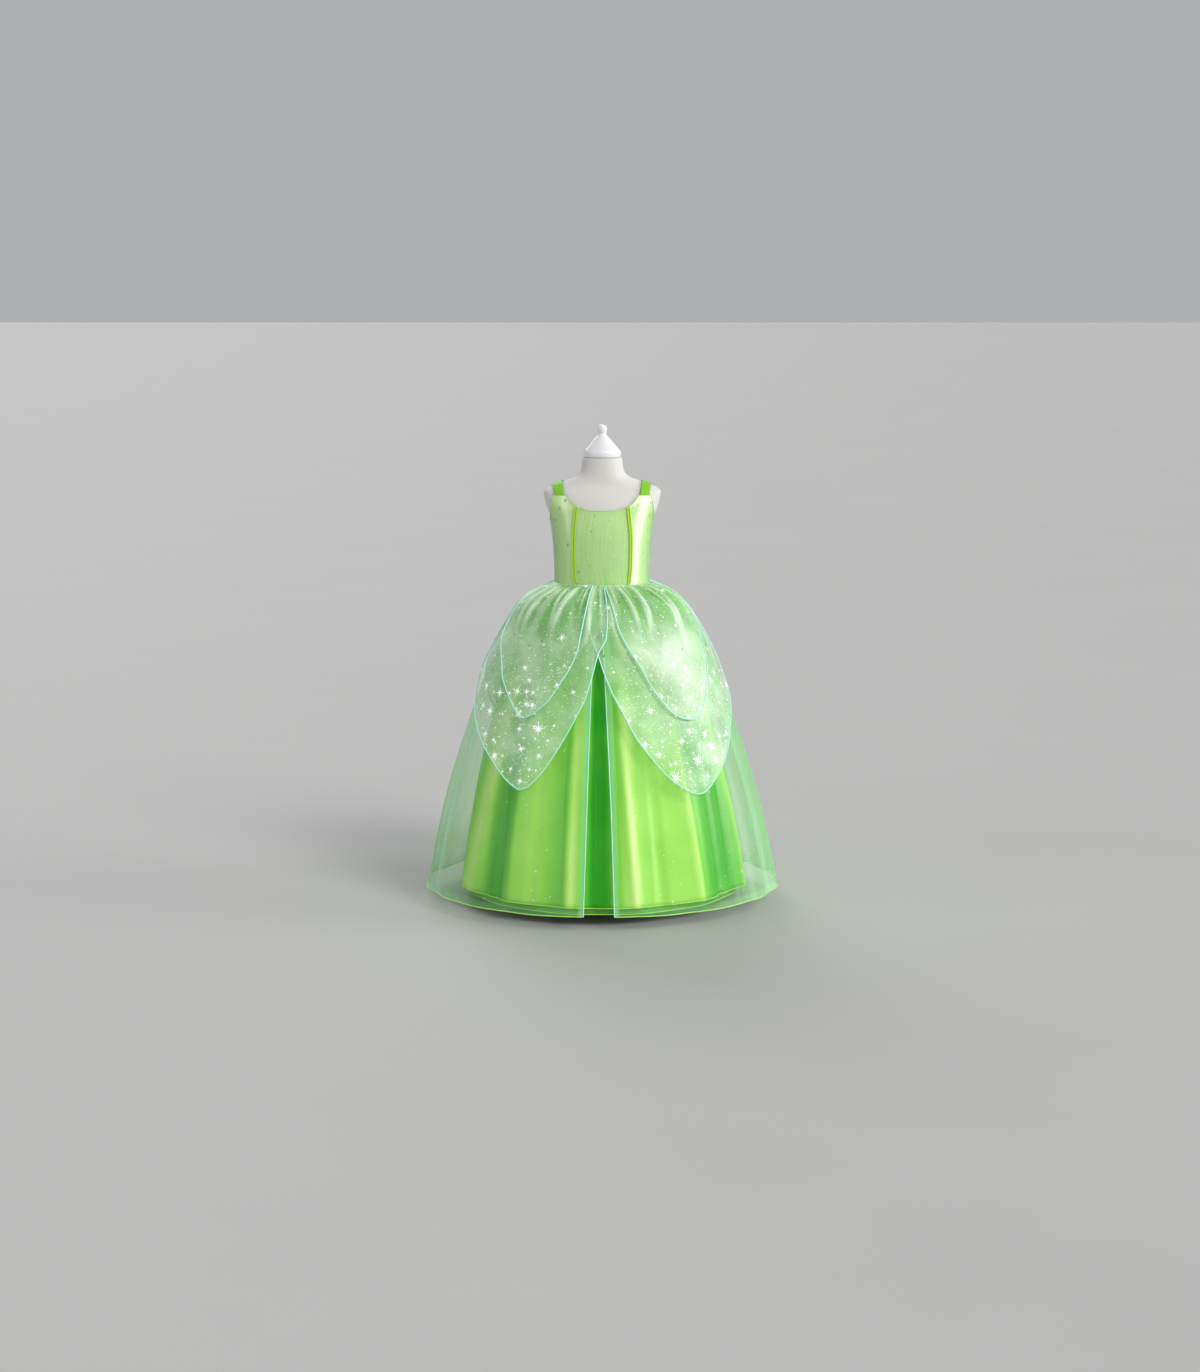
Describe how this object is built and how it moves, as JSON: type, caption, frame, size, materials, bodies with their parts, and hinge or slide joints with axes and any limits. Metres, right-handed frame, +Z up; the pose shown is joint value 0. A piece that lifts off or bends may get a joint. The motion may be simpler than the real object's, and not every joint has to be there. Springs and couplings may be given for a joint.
{
  "type": "princess costume dress on a dress form",
  "caption": "Child's floor-length green costume gown with sheer overskirt and starry petals, fitted on a limbless dress form with a pole and round base.",
  "frame": {"origin": "on the floor, under the middle of the whole object and the pole of the form", "axes": "+Z up, -Y towards the front of the dress, +X towards the viewer's right"},
  "size_m": [0.7282, 0.6526, 0.9843],
  "materials": {
    "form_cover": "off-white stretch jersey cover",
    "white_lacquer": "smooth white gloss",
    "bodice_satin": "pale green satin under fine glitter net",
    "skirt_satin": "bright green satin with a soft sheen",
    "lining_cloth": "matt green lining cloth",
    "organza": "sheer pale green organza",
    "glitter_organza": "sheer organza printed with silver foil stars",
    "ribbon_satin": "lime satin ribbon",
    "braid_thread": "lime metallic thread braid",
    "zip_plastic": "green nylon coil",
    "zip_metal": "plated metal"
  },
  "bodies": {
    "dress_on_form": {"form_torso": "form_cover", "neck_cap": "white_lacquer", "stand_pole": "white_lacquer", "stand_base": "white_lacquer", "bodice_centre_front": "bodice_satin", "bodice_side_front_left": "bodice_satin", "bodice_side_front_right": "bodice_satin", "bodice_back_left": "bodice_satin", "bodice_back_right": "bodice_satin", "braid_left": "braid_thread", "braid_right": "braid_thread", "strap_left": "ribbon_satin", "strap_right": "ribbon_satin", "underskirt_front": "lining_cloth", "underskirt_back": "lining_cloth", "satin_skirt_front": "skirt_satin", "satin_skirt_back_left": "skirt_satin", "satin_skirt_back_right": "skirt_satin", "overskirt_front_left": "organza", "overskirt_front_right": "organza", "overskirt_back": "organza", "petal_large_front_left": "glitter_organza", "petal_large_front_right": "glitter_organza", "petal_small_front_left": "glitter_organza", "petal_small_front_right": "glitter_organza", "petal_large_back_left": "glitter_organza", "petal_large_back_right": "glitter_organza", "petal_small_back_left": "glitter_organza", "petal_small_back_right": "glitter_organza", "zip_chain": "zip_plastic", "zip_slider": "zip_metal"},
    "zip_pull": {"zip_pull": "zip_metal"}
  },
  "joints": [
    {"name": "zip_pull_hinge", "type": "hinge", "parent": "dress_on_form", "child": "zip_pull", "pos_m": [0, 0.0886, 0.776], "axis": [1, 0, 0], "range_deg": [0, 150]}
  ]
}
